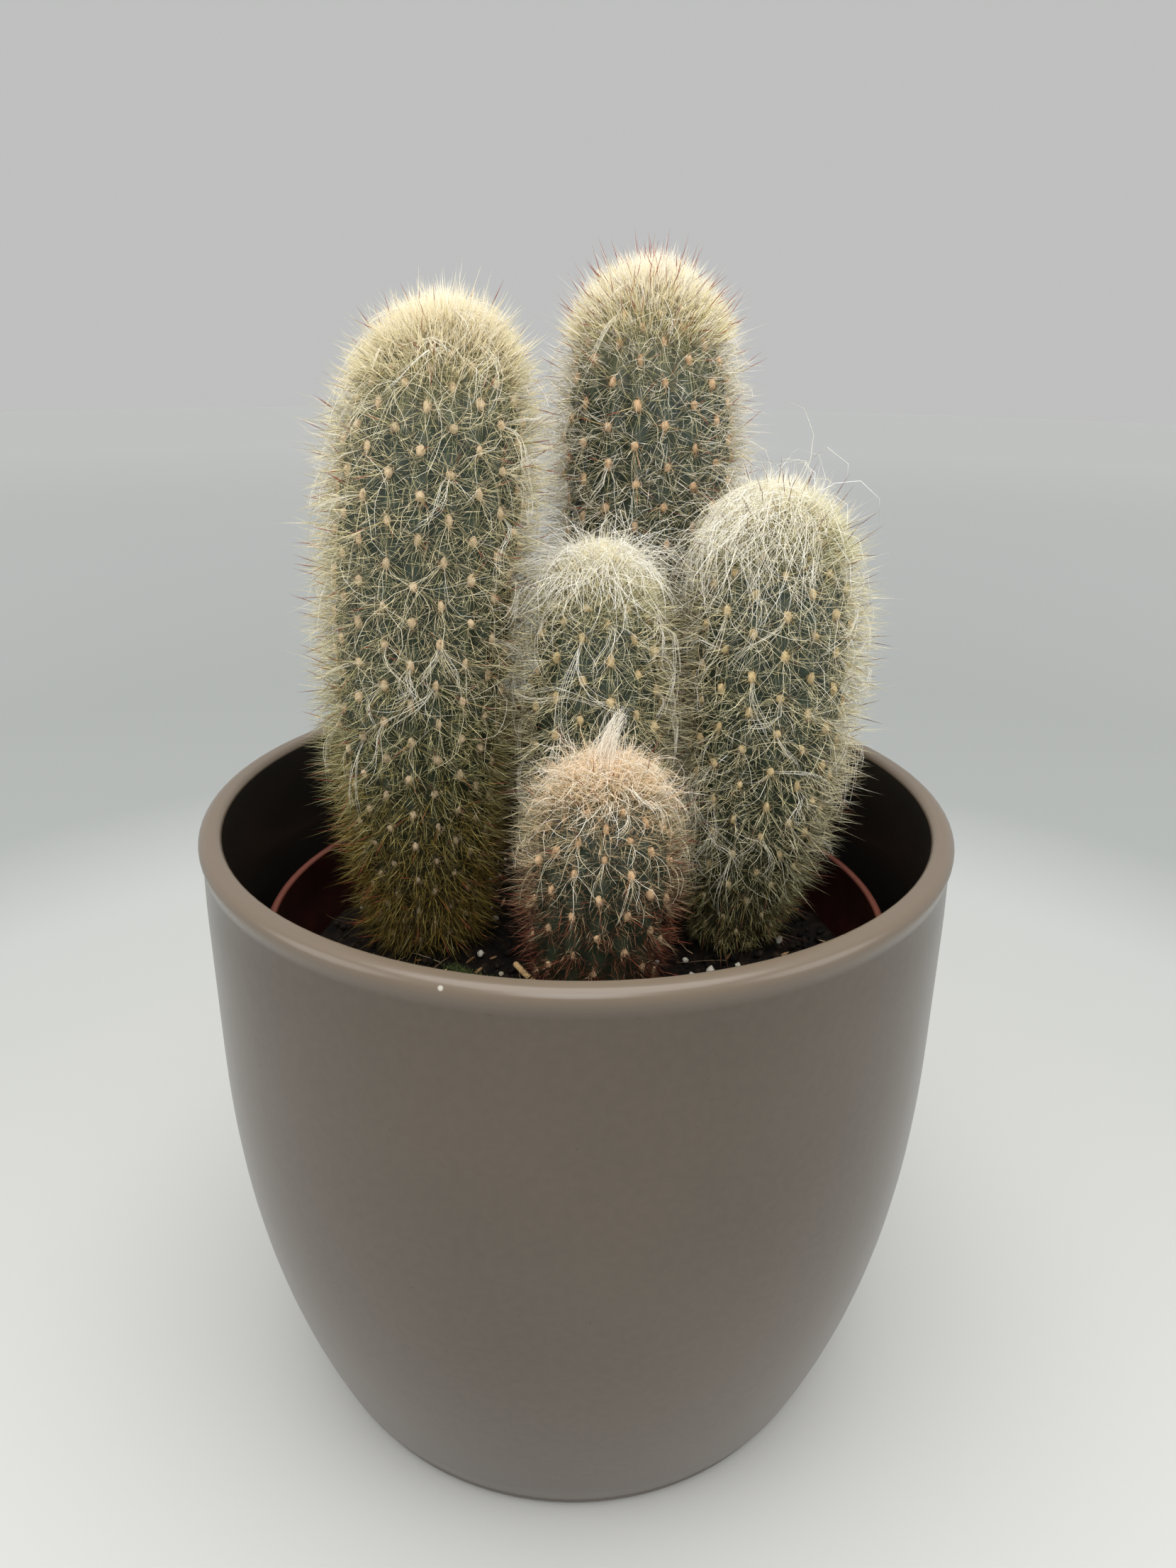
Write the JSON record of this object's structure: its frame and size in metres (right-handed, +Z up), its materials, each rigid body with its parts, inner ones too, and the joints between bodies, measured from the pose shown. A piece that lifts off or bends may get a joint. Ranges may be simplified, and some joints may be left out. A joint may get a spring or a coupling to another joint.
{
  "type": "potted old man cactus",
  "caption": "Clump of ribbed, spiny, woolly column cacti standing in a thin nursery pot of soil inside a round glazed cover pot.",
  "frame": {"origin": "under the centre of the cover pot, on the surface that it stands on", "axes": "+Z up along the cover pot's axis; -Y is the front, which the shortest stem stands nearest to; +X to the right seen from the front"},
  "size_m": [0.14, 0.14, 0.2212],
  "materials": {
    "glaze": "smooth satin-gloss taupe glaze",
    "nursery_plastic": "terracotta-brown moulded plastic",
    "soil": "dark damp peat with perlite crumbs",
    "straw": "dry straw",
    "stem": "green ribbed flesh under cream spines and white wool"
  },
  "bodies": {
    "root": {"cover_pot": "glaze", "nursery_pot": "nursery_plastic", "soil": "soil", "straw": "straw", "stem_left": "stem", "stem_back": "stem", "stem_right": "stem", "stem_middle": "stem", "stem_front": "stem"}
  },
  "joints": []
}
